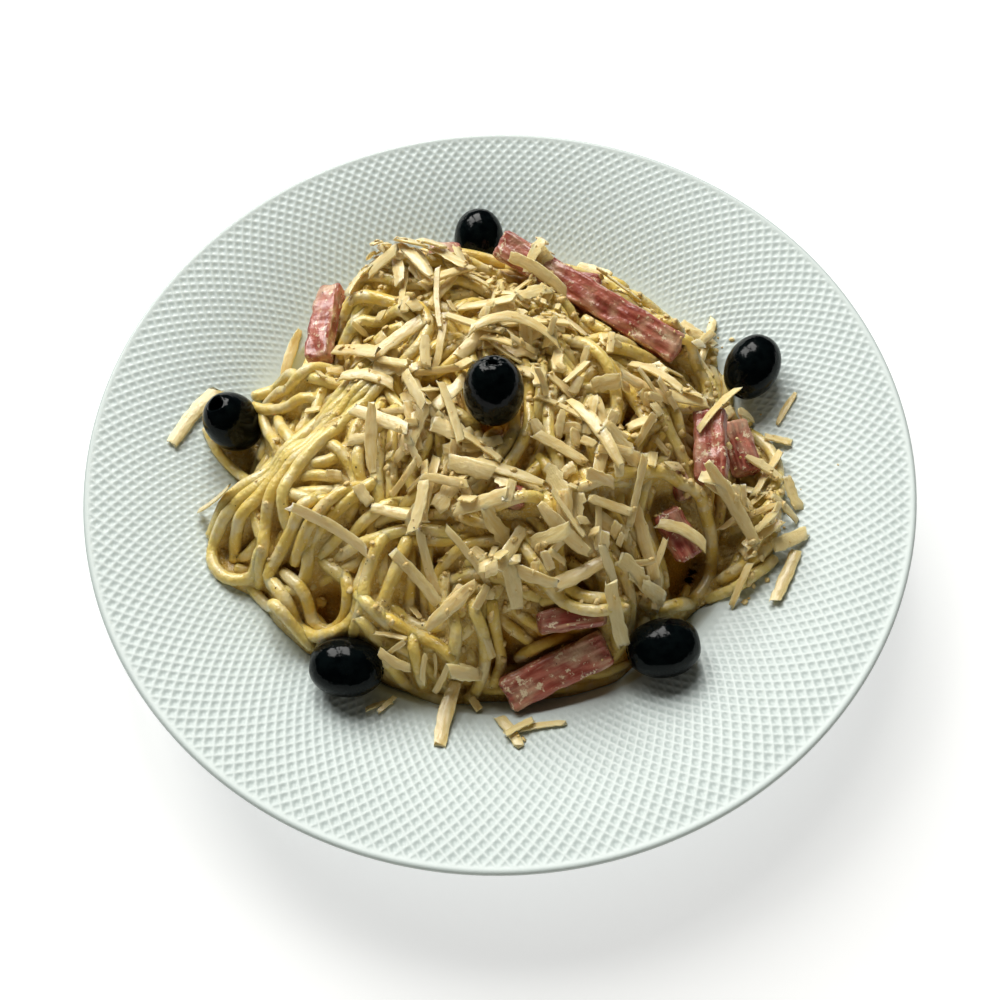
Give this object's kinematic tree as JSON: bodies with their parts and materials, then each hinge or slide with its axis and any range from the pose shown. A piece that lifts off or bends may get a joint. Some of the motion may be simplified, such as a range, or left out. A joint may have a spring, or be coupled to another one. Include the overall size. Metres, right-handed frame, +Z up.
{
  "type": "spaghetti carbonara on a plate",
  "caption": "Spaghetti carbonara heaped in the well of a white relief-rim pasta plate, with ham sticks, grated cheese and black olives.",
  "frame": {"origin": "centre of the plate's foot, on the surface it stands on", "axes": "+Z up; +Y away from the diner, +X to the diner's right"},
  "size_m": [0.28, 0.28, 0.0817],
  "materials": {
    "porcelain": "gloss white glaze with a cool tint",
    "pasta": "moist, coated in cream sauce",
    "cheese": "matte, slightly waxy",
    "olive": "wet gloss",
    "ham": "moist, marbled"
  },
  "bodies": {
    "root": {"plate": "porcelain", "pasta_heap": "pasta", "olive_top": "olive", "olive_back": "olive", "olive_left": "olive", "olive_right": "olive", "olive_front_left": "olive", "olive_front_right": "olive", "ham_back_long": "ham", "ham_back_short": "ham", "ham_back_left": "ham", "ham_front": "ham", "ham_front_inner": "ham", "ham_right_upper": "ham", "ham_right_lower": "ham", "ham_in_loop": "ham", "ham_dark": "ham", "ham_centre": "ham", "ham_back_low": "ham"}
  },
  "joints": []
}
